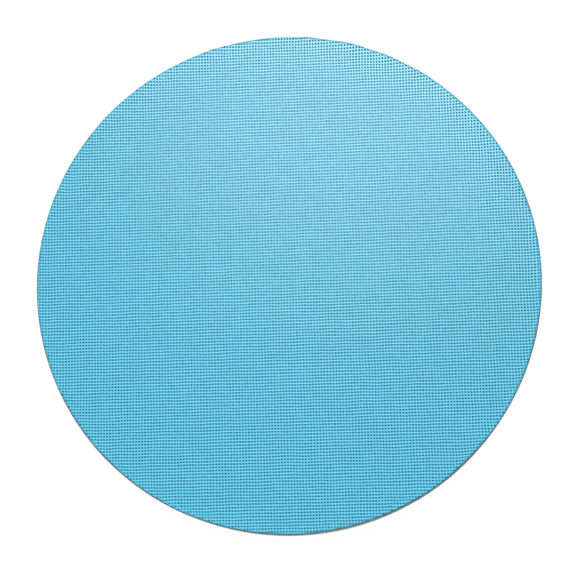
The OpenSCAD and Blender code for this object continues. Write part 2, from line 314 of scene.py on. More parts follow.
def finish_material(add, inputs):
    """Ends a material with one shader and its output."""
    shader = add("ShaderNodeBsdfPrincipled", inputs)[0]
    add("ShaderNodeOutputMaterial", {"Surface": shader})


def foamed_pvc(mats):
    """Foamed PVC on a grid scrim: pale strands with a dull sheen, and painted shade in the pits and between
    them.
    """
    material, add, place = new_material("foamed_pvc")
    # Painted shade on the strands between the pits of a row, as if they lay lower than the strands along it;
    # the mesh keeps them level
    low_strand_painted_shade = 0.3
    high_roughness = 0.35
    low_roughness = 0.26
    # Where a pit's painted shade begins and is full, for half the width of its mouth
    painted_shade_begins = (1.5,) * 3
    painted_shade_full = (0.7,) * 3
    palest_pit_shade = 0.8
    cloud_size = 22 * MM
    # Real foam cells are about 0.1 mm, too fine to show, so they are drawn at 0.5 mm
    foam_cell = 0.5 * MM
    cells = add("ShaderNodeUVMap", uv_map=CELL_MAP)[0]

    # Leaning pit mouths: 1 at the mouth's edge each way, and soft painted shade inside it, of a strength
    # that differs from pit to pit
    number = home_cell(add, cells)
    beside = add(VECTOR_MATH, {0: cells, 1: number}, "SUBTRACT")[0]
    sides = add("ShaderNodeSeparateXYZ", {0: beside})
    lean = mats.pit_lean * mats.cell_length / mats.cell_width
    upright = add(MATH, {0: sides["Y"], 1: lean, 2: sides["X"]}, "MULTIPLY_ADD")[0]
    square = add(COMBINE, {"X": upright, "Y": sides["Y"]})[0]
    outward = add(VECTOR_MATH, {0: square}, "ABSOLUTE")[0]
    mouths = (2 * mats.cell_width / mats.pit_width, 2 * mats.cell_length / mats.pit_length, 0.0)
    reach = add(VECTOR_MATH, {0: outward, 1: mouths}, "MULTIPLY")[0]
    inside = add(
        MAP_RANGE,
        {6: reach, 7: painted_shade_begins, 8: painted_shade_full},
        data_type="FLOAT_VECTOR",
        interpolation_type="SMOOTHSTEP",
    )["Vector"]
    shares = add("ShaderNodeSeparateXYZ", {0: inside})
    pit = add(MATH, {0: shares["X"], 1: shares["Y"]}, "MULTIPLY")[0]
    own = add("ShaderNodeTexWhiteNoise", {"Vector": number})["Value"]
    cell_shade_strength = add(MAP_RANGE, {0: own, "To Min": palest_pit_shade, "To Max": 1.0})[0]
    between = add(MAP_RANGE, {0: shares["X"], "To Min": low_strand_painted_shade, "To Max": 1.0})[0]
    row = add(MATH, {0: shares["Y"], 1: between}, "MULTIPLY")[0]
    painted_shade = add(MATH, {0: row, 1: cell_shade_strength}, "MULTIPLY")[0]

    cloud = add(NOISE, {"Vector": place, "Scale": 1 / cloud_size, "Detail": 3.0})["Fac"]
    tone = add(MAP_RANGE, {0: cloud, **NOISE_RANGE, "To Min": 0.98, "To Max": 1.01})[0]
    strand = list(mats.strand_colour)
    dyed = add(MIX, {0: 1.0, 6: strand, 7: tone}, data_type="RGBA", blend_type="MULTIPLY")[2]
    # Painted shade of the pits and of the strands between them mixes the strand colour towards the pit
    # colour
    colour = add(MIX, {0: painted_shade, 6: dyed, 7: list(mats.pit_shade_colour)}, data_type="RGBA")[2]
    skin = add(MAP_RANGE, {0: shares["Y"], "To Min": high_roughness, "To Max": low_roughness})[0]
    roughness = add(MAP_RANGE, {0: pit, "To Min": skin, "To Max": 1.0})[0]
    foam = add(NOISE, {"Vector": place, "Scale": 1 / foam_cell, "Detail": 2.0})["Fac"]
    relief = add("ShaderNodeBump", {"Strength": 0.05, "Distance": 0.05 * MM, "Height": foam})[0]
    finish_material(add, {"Base Color": colour, "Roughness": roughness, "Normal": relief, "IOR": 1.53})
    return material


def moulded_polypropylene(finish):
    """Grey polypropylene from a spark-eroded mould: satin, finely grained, paler where it is rubbed."""
    material, add, place = new_material("moulded_polypropylene")
    rubbed_colour = linear("#7d8183")
    cloud_size = 35 * MM
    # The mould's grain is about 0.2 mm, too fine to show, so it is drawn at 0.6 mm
    grain_size = 0.6 * MM
    rub_size = 9 * MM
    cloud = add(NOISE, {"Vector": place, "Scale": 1 / cloud_size, "Detail": 4.0})["Fac"]
    tone = add(MAP_RANGE, {0: cloud, **NOISE_RANGE, "To Min": 0.85, "To Max": 1.12})[0]
    grey = list(finish.plate_colour)
    mottled = add(MIX, {0: 1.0, 6: grey, 7: tone}, data_type="RGBA", blend_type="MULTIPLY")[2]
    grain = add(NOISE, {"Vector": place, "Scale": 1 / grain_size, "Detail": 2.0})["Fac"]
    relief = add("ShaderNodeBump", {"Strength": 0.35, "Distance": 0.03 * MM, "Height": grain})[0]
    rub = add(NOISE, {"Vector": place, "Scale": 1 / rub_size, "Detail": 5.0})["Fac"]
    rubbed = add(MAP_RANGE, {0: rub, "From Min": 0.55, "From Max": 0.8, "To Max": 0.35})[0]
    colour = add(MIX, {0: rubbed, 6: mottled, 7: rubbed_colour}, data_type="RGBA")[2]
    roughness = add(MAP_RANGE, {0: grain, **NOISE_RANGE, "To Min": 0.42, "To Max": 0.6})[0]
    finish_material(add, {"Base Color": colour, "Roughness": roughness, "Normal": relief, "IOR": 1.49})
    return material


def ringed_zinc_plate(name, finish, line_width):
    """Zinc-plated steel, drawn or turned about the pivot: blue-white, with fine rings in its gloss."""
    material, add, place = new_material(name)
    bloom = linear("#aab2ba")
    cloud_size = 8 * MM
    flat = add(VECTOR_MATH, {0: place, 1: (1.0, 1.0, 0.0)}, "MULTIPLY")[0]
    radius = add(VECTOR_MATH, {0: flat}, "LENGTH")["Value"]
    height = add("ShaderNodeSeparateXYZ", {0: place})["Z"]
    along = add(MATH, {0: radius, 1: height}, "ADD")[0]
    rings = add(NOISE, {"W": along, "Scale": 1 / line_width, "Detail": 3.0}, noise_dimensions="1D")["Fac"]
    cloud = add(NOISE, {"Vector": place, "Scale": 1 / cloud_size, "Detail": 4.0})["Fac"]
    colour = add(MIX, {0: cloud, 6: list(finish.zinc_colour), 7: bloom}, data_type="RGBA")[2]
    roughness = add(MAP_RANGE, {0: rings, **NOISE_RANGE, "To Min": 0.22, "To Max": 0.42})[0]
    relief = add("ShaderNodeBump", {"Strength": 0.4, "Distance": 0.01 * MM, "Height": rings})[0]
    finish_material(add, {"Base Color": colour, "Metallic": 1.0, "Roughness": roughness, "Normal": relief})
    return material


def tumbled_zinc_plate(finish):
    """Zinc-plated screw steel from a tumbling barrel: dull blue-white metal with small knocks all over."""
    material, add, place = new_material("tumbled_zinc_plate")
    bloom = linear("#9fa8b0")
    knock_size = 0.8 * MM
    cloud_size = 3 * MM
    dents = {"Vector": place, "Scale": 1 / knock_size}
    knocks = add("ShaderNodeTexVoronoi", dents, feature="SMOOTH_F1")["Distance"]
    cloud = add(NOISE, {"Vector": place, "Scale": 1 / cloud_size, "Detail": 3.0})["Fac"]
    colour = add(MIX, {0: cloud, 6: list(finish.zinc_colour), 7: bloom}, data_type="RGBA")[2]
    roughness = add(MAP_RANGE, {0: cloud, **NOISE_RANGE, "To Min": 0.3, "To Max": 0.5})[0]
    relief = add("ShaderNodeBump", {"Strength": 0.3, "Distance": 0.02 * MM, "Height": knocks})[0]
    finish_material(add, {"Base Color": colour, "Metallic": 1.0, "Roughness": roughness, "Normal": relief})
    return material


def polished_bearing_steel(finish):
    """Lapped bearing steel: bright mirror balls, dulled in patches by a thin film of grease."""
    material, add, place = new_material("polished_bearing_steel")
    grease = linear("#c3bfae")
    smear_size = 2.5 * MM
    smear = add(NOISE, {"Vector": place, "Scale": 1 / smear_size, "Detail": 2.0})["Fac"]
    greased = add(MAP_RANGE, {0: smear, "From Min": 0.45, "From Max": 0.75})[0]
    colour = add(MIX, {0: greased, 6: list(finish.ball_colour), 7: grease}, data_type="RGBA")[2]
    roughness = add(MAP_RANGE, {0: greased, "To Min": 0.06, "To Max": 0.24})[0]
    finish_material(add, {"Base Color": colour, "Metallic": 1.0, "Roughness": roughness})
    return material


def natural_nylon(finish):
    """Undyed moulded nylon: ivory, waxy and faintly cloudy, with a satin mould skin."""
    material, add, place = new_material("natural_nylon")
    waxy = linear("#d8d0bb")
    cloud_size = 6 * MM
    # The mould skin's grain is about 0.1 mm, too fine to show, so it is drawn at 0.4 mm
    grain_size = 0.4 * MM
    cloud = add(NOISE, {"Vector": place, "Scale": 1 / cloud_size, "Detail": 3.0})["Fac"]
    colour = add(MIX, {0: cloud, 6: list(finish.nylon_colour), 7: waxy}, data_type="RGBA")[2]
    grain = add(NOISE, {"Vector": place, "Scale": 1 / grain_size, "Detail": 1.0})["Fac"]
    relief = add("ShaderNodeBump", {"Strength": 0.3, "Distance": 0.02 * MM, "Height": grain})[0]
    roughness = add(MAP_RANGE, {0: grain, **NOISE_RANGE, "To Min": 0.38, "To Max": 0.52})[0]
    finish_material(add, {"Base Color": colour, "Roughness": roughness, "Normal": relief, "IOR": 1.53})
    return material


def rolled_adhesive_film(finish):
    """Double-sided acrylic film, rolled on by hand: cream and tacky-glossy, with small pale air pockets."""
    material, add, place = new_material("rolled_adhesive_film")
    pale = linear("#eeeade")
    pocket_size = 5 * MM
    bubbles = {"Vector": place, "Scale": 1 / pocket_size}
    spots = add("ShaderNodeTexVoronoi", bubbles, feature="F1")["Distance"]
    pocket = add(MAP_RANGE, {0: spots, "From Min": 0.3, "From Max": 0.15})[0]
    colour = add(MIX, {0: pocket, 6: list(finish.film_colour), 7: pale}, data_type="RGBA")[2]
    roughness = add(MAP_RANGE, {0: pocket, "To Min": 0.25, "To Max": 0.5})[0]
    relief = add("ShaderNodeBump", {"Strength": 0.3, "Distance": 0.05 * MM, "Height": pocket})[0]
    finish_material(add, {"Base Color": colour, "Roughness": roughness, "Normal": relief, "IOR": 1.47})
    return material


class PIVOTDISC_OT_grip_mats(bpy.types.Operator):
    """Makes the pitted foam grip mats on the upper plate and under the base plate"""

    bl_idname = "pivotdisc.grip_mats"
    bl_label = "Grip mats"

    def execute(self, context):
        mats = context.scene.pivot_disc.mats
        tree = pitted_mat_tree()
        foam = foamed_pvc(mats)
        for node, plate, body, upside_down in (
            ("top_grip_mat", "top_plate", "turntable", False),
            ("base_grip_mat", "base_plate", "base", True),
        ):
            values = mat_values(mats, node, plate, upside_down)
            piece = make_piece(context, "pitted_" + node, tree, {**values, "Material": foam})
            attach(piece, body)
            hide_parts(node)
        return {"FINISHED"}


def mat_values(mats, node, plate, upside_down):
    """Inputs of the mat's tree for the mat that stands for a CAD node."""
    low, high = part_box(node)
    plate_low, plate_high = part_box(plate)
    diameter = high[0] - low[0]
    columns = math.ceil(diameter / mats.cell_width) + 2
    rows = math.ceil(diameter / mats.cell_length) + 2
    return {
        **{label: getattr(mats, label.lower().replace(" ", "_")) for label in MAT_SIZES},
        "Edge Slip": tuple(mats.edge_slip),
        "Radius": diameter / 2,
        "Thickness": high[2] - low[2],
        "Lines Across": 2 * columns,
        "Lines Along": 2 * rows,
        "Grid Width": (columns - 0.5) * mats.cell_width,
        "Grid Length": (rows - 0.5) * mats.cell_length,
        "Held Depth": high[2] - plate_low[2] if upside_down else plate_high[2] - low[2],
        "Back Height": high[2] if upside_down else low[2],
        "Turned Over": math.pi if upside_down else 0.0,
    }


def pitted_mat_tree():
    """Tree of one mat, face up: a lattice with a pit in each cell, cut to a disc, walled and backed."""
    places = ("Radius", "Thickness", "Grid Width", "Grid Length", "Held Depth", "Back Height", "Turned Over")
    others = {label: "NodeSocketInt" for label in ("Lines Across", "Lines Along")}
    others["Edge Slip"] = "NodeSocketVector"
    tree, add, sizes = new_tree("Pitted foam mat", (*MAT_SIZES, *places), others)
    # Points nearer than this are one point, at the ragged edge and elsewhere
    edge_weld = 0.25 * MM
    weld = 0.01 * MM
    # The face ends inside the edge by this share of the rounding
    face_inset = -0.25
    # A face this near the middle of its cell, in cells, is the mouth of a pit
    mouth_reach = 0.1
    # Rows stray inside this share of the radius, and the cut edge outside it
    calm_share = 0.97
    edge_crease = 75

    # Even grid with two lines to a cell each way
    grid = add(
        "GeometryNodeMeshGrid",
        {
            "Size X": sizes["Grid Width"],
            "Size Y": sizes["Grid Length"],
            "Vertices X": sizes["Lines Across"],
            "Vertices Y": sizes["Lines Along"],
        },
    )["Mesh"]
    place = add("GeometryNodeInputPosition")[0]
    cell_size = add(COMBINE, {"X": sizes["Cell Width"], "Y": sizes["Cell Length"], "Z": 1.0})[0]

    # The lines of a cell are drawn to the mouth of its pit, which leans a little
    pit_size = add(COMBINE, {"X": sizes["Pit Width"], "Y": sizes["Pit Length"]})[0]
    even_cells = add(VECTOR_MATH, {0: place, 1: cell_size}, "DIVIDE")[0]
    even_home = home_cell(add, even_cells)
    quarter = add(VECTOR_MATH, {0: even_cells, 1: even_home}, "SUBTRACT")[0]
    half_mouth = add(VECTOR_MATH, {0: quarter, 1: pit_size}, "MULTIPLY")[0]
    mouth = add(VECTOR_MATH, {0: half_mouth, "Scale": 2.0}, "SCALE")[0]
    mouth_y = add("ShaderNodeSeparateXYZ", {0: mouth})["Y"]
    lean_x = add(MATH, {0: mouth_y, 1: sizes["Pit Lean"]}, "MULTIPLY")[0]
    lean = add(COMBINE, {"X": lean_x})[0]
    corner = add(VECTOR_MATH, {0: mouth, 1: lean}, "SUBTRACT")[0]
    spread = add(VECTOR_MATH, {0: even_home, 1: cell_size, 2: corner}, "MULTIPLY_ADD")[0]
    lattice = add(SET_POSITION, {0: grid, "Position": spread})[0]
    turn = add(COMBINE, {"Z": sizes["Grid Turn"]})[0]
    turned = add("GeometryNodeTransform", {0: lattice, "Rotation": turn})[0]

    # Cut to a disc: what lies outside goes, and the ragged edge is drawn on to a true circle
    flat = add(VECTOR_MATH, {0: place, 1: (1.0, 1.0, 0.0)}, "MULTIPLY")[0]
    reach = add(VECTOR_MATH, {0: flat}, "LENGTH")["Value"]
    outward = add(VECTOR_MATH, {0: flat}, "NORMALIZE")[0]
    ring = add(MATH, {0: sizes["Edge Round"], 1: face_inset, 2: sizes["Radius"]}, "MULTIPLY_ADD")[0]
    outside = add(COMPARE, {0: reach, 1: ring}, "GREATER_THAN")[0]
    offcut = {0: turned, "Selection": outside}
    disc = add("GeometryNodeDeleteGeometry", offcut, domain="FACE", mode="ALL")[0]
    faces_at_edge = add("GeometryNodeInputMeshEdgeNeighbors")[0]
    open_edge = add(COMPARE, {2: faces_at_edge, 3: 1}, "EQUAL", data_type="INT")[0]
    on_ring = add(VECTOR_MATH, {0: outward, "Scale": ring}, "SCALE")[0]
    rounded = add(SET_POSITION, {0: disc, "Selection": open_edge, "Position": on_ring})[0]
    welded = add("GeometryNodeMergeByDistance", {0: rounded, "Distance": edge_weld})[0]

    # Pits: each mouth inside the edge is drawn down to a point in the middle of its cell
    turning = {"Vector": flat, "Angle": sizes["Grid Turn"]}
    unturned = add("ShaderNodeVectorRotate", turning, rotation_type="Z_AXIS", invert=True)[0]
    cells = add(VECTOR_MATH, {0: unturned, 1: cell_size}, "DIVIDE")[0]
    home = home_cell(add, cells)
    off_centre = add(VECTOR_MATH, {0: cells, 1: home}, "DISTANCE")["Value"]
    is_mouth = add(COMPARE, {0: off_centre, 1: mouth_reach}, "LESS_THAN")[0]
    inner = add(MATH, {0: ring, 1: sizes["Cell Length"]}, "SUBTRACT")[0]
    within = add(COMPARE, {0: reach, 1: inner}, "LESS_THAN")[0]
    pressed = add("FunctionNodeBooleanMath", {0: is_mouth, 1: within}, "AND")[0]
    stamped = {"Mesh": welded, "Selection": pressed, "Offset Scale": 0.0}
    pits = add("GeometryNodeExtrudeMesh", stamped, mode="FACES")
    centre = add(VECTOR_MATH, {0: home, 1: cell_size}, "MULTIPLY")[0]
    returning = {"Vector": centre, "Angle": sizes["Grid Turn"]}
    back_turned = add("ShaderNodeVectorRotate", returning, rotation_type="Z_AXIS")[0]
    depth = add(COMBINE, {"Z": sizes["Pit Depth"]})[0]
    bottom = add(VECTOR_MATH, {0: back_turned, 1: depth}, "SUBTRACT")[0]
    sunk = add(SET_POSITION, {0: pits["Mesh"], "Selection": pits["Top"], "Position": bottom})[0]
    pointed = add("GeometryNodeMergeByDistance", {0: sunk, "Distance": weld})[0]

    # The face is raised to its height, and falls off at the round edge
    start = add(MATH, {0: sizes["Radius"], 1: sizes["Edge Round"]}, "SUBTRACT")[0]
    past = add(MAP_RANGE, {0: reach, "From Min": start, "From Max": sizes["Radius"]})[0]
    squared = add(MATH, {0: past, 1: past}, "MULTIPLY")[0]
    left = add(MATH, {0: 1.0, 1: squared}, "SUBTRACT")[0]
    arc = add(MATH, {0: left}, "SQRT")[0]
    shoulder_height = add(MATH, {0: sizes["Thickness"], 1: sizes["Edge Round"]}, "SUBTRACT")[0]
    height = add(MATH, {0: arc, 1: sizes["Edge Round"], 2: shoulder_height}, "MULTIPLY_ADD")[0]
    raised = add(COMBINE, {"Z": height})[0]
    face = add(SET_POSITION, {0: pointed, "Offset": raised})[0]
    cell_map = {0: face, "Name": CELL_MAP, "Value": cells}
    mapped = add("GeometryNodeStoreNamedAttribute", cell_map, data_type="FLOAT2", domain="CORNER")[0]

    # Round shoulder, wall above the recess, wall in it and back, each drawn out from the last open edge
    lift = add(COMBINE, {"Z": shoulder_height})[0]
    foot = add(VECTOR_MATH, {0: outward, "Scale": sizes["Radius"]}, "SCALE")[0]
    shoulder = add(VECTOR_MATH, {0: foot, 1: lift}, "ADD")[0]
    held = add(COMBINE, {"Z": sizes["Held Depth"]})[0]
    waist = add(VECTOR_MATH, {0: foot, 1: held}, "ADD")[0]
    middle = add(VECTOR_MATH, {0: flat, "Scale": 0.0}, "SCALE")[0]
    mat = mapped
    edge = open_edge
    walls = []
    for target in (shoulder, waist, foot, middle):
        hem = {"Mesh": mat, "Selection": edge, "Offset Scale": 0.0}
        wall = add("GeometryNodeExtrudeMesh", hem, mode="EDGES")
        edge = wall["Top"]
        walls.append(wall["Side"])
        mat = add(SET_POSITION, {0: wall["Mesh"], "Selection": edge, "Position": target})[0]
    closed = add("GeometryNodeMergeByDistance", {0: mat, "Distance": weld})[0]

    # Maps: the wall and back count as plain strand, and each has its own room in the bake map
    face_room = (0.4, (0.41, 0.41, 0.0))
    back_room = (0.08, (0.91, 0.09, 0.0))
    strip_length = 0.8
    strip_middle = 0.41
    strip_width = 0.03
    strip_bottom = 0.86
    split = add("ShaderNodeSeparateXYZ", {0: place})
    upright = add("FunctionNodeBooleanMath", {0: walls[1], 1: walls[2]}, "OR")[0]
    plain = add("FunctionNodeBooleanMath", {0: upright, 1: walls[3]}, "OR")[0]
    discs = []
    for room_radius, room_middle in (face_room, back_room):
        share = add(MATH, {0: room_radius, 1: sizes["Radius"]}, "DIVIDE")[0]
        scaled = add(VECTOR_MATH, {0: flat, "Scale": share}, "SCALE")[0]
        discs.append(add(VECTOR_MATH, {0: scaled, 1: room_middle}, "ADD")[0])
    bearing = add(MATH, {0: split["Y"], 1: split["X"]}, "ARCTAN2")[0]
    along = add(MATH, {0: bearing, 1: strip_length / math.tau, 2: strip_middle}, "MULTIPLY_ADD")[0]
    rise = add(MATH, {0: split["Z"], 1: sizes["Thickness"]}, "DIVIDE")[0]
    up = add(MATH, {0: rise, 1: strip_width, 2: strip_bottom}, "MULTIPLY_ADD")[0]
    strip = add(COMBINE, {"X": along, "Y": up})[0]
    for where, label, spots in (
        (plain, CELL_MAP, (0.5, 0.5, 0.0)),
        (True, BAKE_MAP, discs[0]),
        (upright, BAKE_MAP, strip),
        (walls[3], BAKE_MAP, discs[1]),
    ):
        stored = {0: closed, "Selection": where, "Name": label, "Value": spots}
        closed = add("GeometryNodeStoreNamedAttribute", stored, data_type="FLOAT2", domain="CORNER")[0]

    # Rows that stray a little, as a soft mat does when it is laid, but not at the cut edge
    wander = add(MATH, {0: 1.0, 1: sizes["Waver Reach"]}, "DIVIDE")[0]
    noise = add(NOISE, {"Vector": flat, "Scale": wander, "Detail": 3.0}, noise_dimensions="2D")["Color"]
    centred = add(VECTOR_MATH, {0: noise, 1: (0.5,) * 3}, "SUBTRACT")[0]
    level = add(VECTOR_MATH, {0: centred, 1: (2.0, 2.0, 0.0)}, "MULTIPLY")[0]
    calm_start = add(MATH, {0: sizes["Radius"], 1: calm_share}, "MULTIPLY")[0]
    calm = add(MAP_RANGE, {0: reach, "From Min": ring, "From Max": calm_start, "To Max": sizes["Waver"]})[0]
    stray = add(VECTOR_MATH, {0: level, "Scale": calm}, "SCALE")[0]
    strayed = add(SET_POSITION, {0: closed, "Offset": stray})[0]

    # Hand-cut edge that swells and strays above the recess that holds the mat, and lies a little to one side
    jitter = add(MATH, {0: 1.0, 1: sizes["Edge Waver Reach"]}, "DIVIDE")[0]
    cut = add(NOISE, {"Vector": flat, "Scale": jitter, "Detail": 2.0}, noise_dimensions="2D")["Fac"]
    swing = add(MAP_RANGE, {0: cut, **NOISE_RANGE, "To Min": -0.5, "To Max": 1.5})[0]
    push = add(MATH, {0: swing, 1: sizes["Edge Waver"]}, "MULTIPLY")[0]
    swollen = add(VECTOR_MATH, {0: outward, "Scale": push}, "SCALE")[0]
    slipped = add(VECTOR_MATH, {0: swollen, 1: sizes["Edge Slip"]}, "ADD")[0]
    hold = add(MAP_RANGE, {0: reach, "From Min": calm_start, "From Max": ring})[0]
    pushed = add(VECTOR_MATH, {0: slipped, "Scale": hold}, "SCALE")[0]
    wall_sum = add(MATH, {0: shoulder_height, 1: sizes["Held Depth"]}, "ADD")[0]
    wall_middle = add(MATH, {0: wall_sum, 1: 0.5}, "MULTIPLY")[0]
    free = add(COMPARE, {0: split["Z"], 1: wall_middle}, "GREATER_THAN")[0]
    trimmed = add(SET_POSITION, {0: strayed, "Selection": free, "Offset": pushed})[0]

    # Smooth but for the pits and the edge of the back, then laid where it belongs
    smooth = add("GeometryNodeSetShadeSmooth", {0: trimmed, 2: True}, domain="FACE")[0]
    crisp = add("GeometryNodeSetShadeSmooth", {0: smooth, 1: pits["Side"], 2: False}, domain="FACE")[0]
    edged = creased(add, crisp, edge_crease)
    over = add(COMBINE, {"X": sizes["Turned Over"]})[0]
    base = add(COMBINE, {"Z": sizes["Back Height"]})[0]
    laid = add("GeometryNodeTransform", {0: edged, "Rotation": over, "Translation": base})[0]
    finish_tree(add, laid, sizes)
    return tree


class PIVOTDISC_OT_mat_films(bpy.types.Operator):
    """Finishes the adhesive film under each mat"""

    bl_idname = "pivotdisc.mat_films"
    bl_label = "Mat films"

    def execute(self, context):
        dress(("top_mat_film", "base_mat_film"), rolled_adhesive_film(context.scene.pivot_disc.finish))
        return {"FINISHED"}


class PIVOTDISC_OT_plates(bpy.types.Operator):
    """Finishes the two moulded plates"""

    bl_idname = "pivotdisc.plates"
    bl_label = "Plates"

    def execute(self, context):
        dress(("top_plate", "base_plate"), moulded_polypropylene(context.scene.pivot_disc.finish))
        return {"FINISHED"}


class PIVOTDISC_OT_races(bpy.types.Operator):
    """Presses the two races and punches their screw holes"""

    bl_idname = "pivotdisc.races"
    bl_label = "Races"

    def execute(self, context):
        settings = context.scene.pivot_disc
        races = settings.races
        draw_lines = 0.9 * MM
        zinc = ringed_zinc_plate("pressed_zinc_plate", settings.finish, draw_lines)
        tree = punched_race_tree()
        ball_low, ball_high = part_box("bearing_balls")
        ball_plane = (ball_low[2] + ball_high[2]) / 2
        for node, body, side in (("upper_race", "turntable", 1), ("lower_race", "base", -1)):
            low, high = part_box(node)
            flange = low[2] - ball_plane if side > 0 else ball_plane - high[2]
            section = [(radius, ball_plane + side * rise) for radius, rise in race_section(races, flange)]
            values = {
                **screw_ring(settings.threads),
                "Hole Radius": races.hole / 2,
                "Hole Depth": 4 * races.sheet,
                "Flange Height": ball_plane + side * (flange + races.sheet / 2),
                "Material": zinc,
            }
            blank = spun_mesh(section[::side])
            piece = make_piece(context, "pressed_" + node, tree, values, blank)
            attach(piece, body)
            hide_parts(node)
        return {"FINISHED"}


def section_arc(centre, radius, start):
    """Points of an arc over the top of a circle, from one angle to the same angle on the other side."""
    steps = 18
    turn = (math.pi - 2 * start) / steps
    angles = [start + step * turn for step in range(steps + 1)]
    return [(centre[0] + radius * math.cos(angle), centre[1] + radius * math.sin(angle)) for angle in angles]


def race_section(races, flange):
    """Section of a race as radius and height from the plane of the balls, anticlockwise."""
    inner = races.track_radius - races.inner_width
    outer = races.track_radius + races.outer_width
    back = flange + races.sheet
    trough_radius = races.groove_radius + races.sheet
    centre = (races.track_radius, races.groove_height)
    lip = math.asin((flange - races.groove_height) / races.groove_radius)
    shoulder = math.asin((back - races.groove_height) / trough_radius)
    groove = section_arc(centre, races.groove_radius, lip)[::-1]
    trough = section_arc(centre, trough_radius, shoulder)
    return [(inner, flange), *groove, (outer, flange), (outer, back), *trough, (inner, back)]


def spun_mesh(section):
    """Closed mesh of an anticlockwise section turned about Z."""
    steps = 240
    count = len(section)
    corners = []
    faces = []
    for step in range(steps):
        turn = math.tau * step / steps
        corners += [(radius * math.cos(turn), radius * math.sin(turn), height) for radius, height in section]
        here = step * count
        there = (step + 1) % steps * count
        for point in range(count):
            after = (point + 1) % count
            faces.append((here + point, there + point, there + after, here + after))
    mesh = bpy.data.meshes.new("spun")
    mesh.from_pydata(corners, [], faces)
    return mesh


def punched_race_tree():
    """Tree that punches a ring of screw holes in a spun race and shades it smooth between its edges."""
    floats = ("Ring Radius", "First Bearing", "Hole Radius", "Hole Depth", "Flange Height")
    others = {"Race": "NodeSocketGeometry", "Screws": "NodeSocketInt"}
    tree, add, sizes = new_tree("Punched race", floats, others)
    hole_sides = 32
    edge_crease = 30
    hole = {"Vertices": hole_sides, "Radius": sizes["Hole Radius"], "Depth": sizes["Hole Depth"]}
    punch = add("GeometryNodeMeshCylinder", hole)["Mesh"]
    spots = screw_spots(add, sizes, sizes["Flange Height"])
    punches = add("GeometryNodeInstanceOnPoints", {"Points": spots, "Instance": punch})[0]
    cutters = add("GeometryNodeRealizeInstances", {0: punches})[0]
    # Both sides of the cut carry the material, or the cut would leave an empty slot
    race, cutters = [
        add("GeometryNodeSetMaterial", {0: mesh, "Material": sizes["Material"]})[0]
        for mesh in (sizes["Race"], cutters)
    ]
    cut = {"Mesh 1": race, "Mesh 2": cutters}
    punched = add("GeometryNodeMeshBoolean", cut, "DIFFERENCE", solver="EXACT")["Mesh"]
    smooth = add("GeometryNodeSetShadeSmooth", {0: punched, 2: True}, domain="FACE")[0]
    finish_tree(add, creased(add, smooth, edge_crease), sizes)
    return tree


class PIVOTDISC_OT_balls(bpy.types.Operator):
    """Finishes the bearing balls"""

    bl_idname = "pivotdisc.balls"
    bl_label = "Balls"

    def execute(self, context):
        dress(("bearing_balls",), polished_bearing_steel(context.scene.pivot_disc.finish))
        return {"FINISHED"}


class PIVOTDISC_OT_nylon_pieces(bpy.types.Operator):
    """Finishes the cage segments, the bush and the thrust washer"""

    bl_idname = "pivotdisc.nylon_pieces"
    bl_label = "Nylon pieces"

    def execute(self, context):
        cage = [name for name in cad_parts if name.startswith("cage_segment")]
        dress((*cage, "pivot_bush", "thrust_washer"), natural_nylon(context.scene.pivot_disc.finish))
        return {"FINISHED"}


class PIVOTDISC_OT_race_screws(bpy.types.Operator):
    """Finishes the race screws and winds their threads"""

    bl_idname = "pivotdisc.race_screws"
    bl_label = "Race screws"

    def execute(self, context):
        threads = context.scene.pivot_disc.threads
        zinc = tumbled_zinc_plate(context.scene.pivot_disc.finish)
        tree = thread_tree("Race screw threads")
        for node, body, head_up in (
            ("upper_race_screws", "turntable", False),
            ("lower_race_screws", "base", True),
        ):
            dress((node,), zinc)
            shanks = shank_values(threads, "race", node, head_up)
            values = {**screw_ring(threads), **shanks, "Material": zinc}
            piece = make_piece(context, node[:-1] + "_threads", tree, values)
            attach(piece, body)
        return {"FINISHED"}


class PIVOTDISC_OT_centre_pivot(bpy.types.Operator):
    """Finishes the pivot's barrel, screw and washer and winds the screw's thread"""

    bl_idname = "pivotdisc.centre_pivot"
    bl_label = "Centre pivot"

    def execute(self, context):
        threads = context.scene.pivot_disc.threads
        tool_lines = 0.4 * MM
        zinc = ringed_zinc_plate("turned_zinc_plate", context.scene.pivot_disc.finish, tool_lines)
        dress(("pivot_barrel", "pivot_screw", "retaining_washer"), zinc)
        lone_screw = {"Screws": 1, "Ring Radius": 0.0, "First Bearing": 0.0}
        shank = shank_values(threads, "pivot", "pivot_screw", True)
        values = {**lone_screw, **shank, "Material": zinc}
        piece = make_piece(context, "pivot_screw_thread", thread_tree("Pivot screw thread"), values)
        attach(piece, "base")
        return {"FINISHED"}


def screw_ring(threads):
    """Inputs of a tree that say where a race's screws are."""
    return {
        "Screws": threads.race_screws,
        "Ring Radius": threads.ring_radius,
        "First Bearing": threads.first_bearing,
    }


def shank_values(threads, kind, node, head_up):
    """Inputs of the thread's tree for the shanks of a CAD node's screws, with the sizes of their kind."""
    low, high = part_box(node)
    neck = getattr(threads, kind + "_neck")
    ridge = getattr(threads, kind + "_ridge")
    return {
        "Shank Radius": getattr(threads, kind + "_shank") / 2,
        "Pitch": getattr(threads, kind + "_pitch"),
        "Ridge": ridge,
        "Length": high[2] - low[2] - neck - ridge,
        "Bottom Height": low[2] + (ridge if head_up else neck),
    }


def screw_spots(add, sizes, height):
    """Points of a ring of screws at a height."""
    number = add("GeometryNodeInputIndex")[0]
    step = add(MATH, {0: math.tau, 1: sizes["Screws"]}, "DIVIDE")[0]
    bearing = add(MATH, {0: number, 1: step, 2: sizes["First Bearing"]}, "MULTIPLY_ADD")[0]
    out = add(COMBINE, {"X": sizes["Ring Radius"], "Z": height})[0]
    spot = add("ShaderNodeVectorRotate", {"Vector": out, "Angle": bearing}, rotation_type="Z_AXIS")[0]
    return add("GeometryNodePoints", {"Count": sizes["Screws"], "Position": spot})[0]


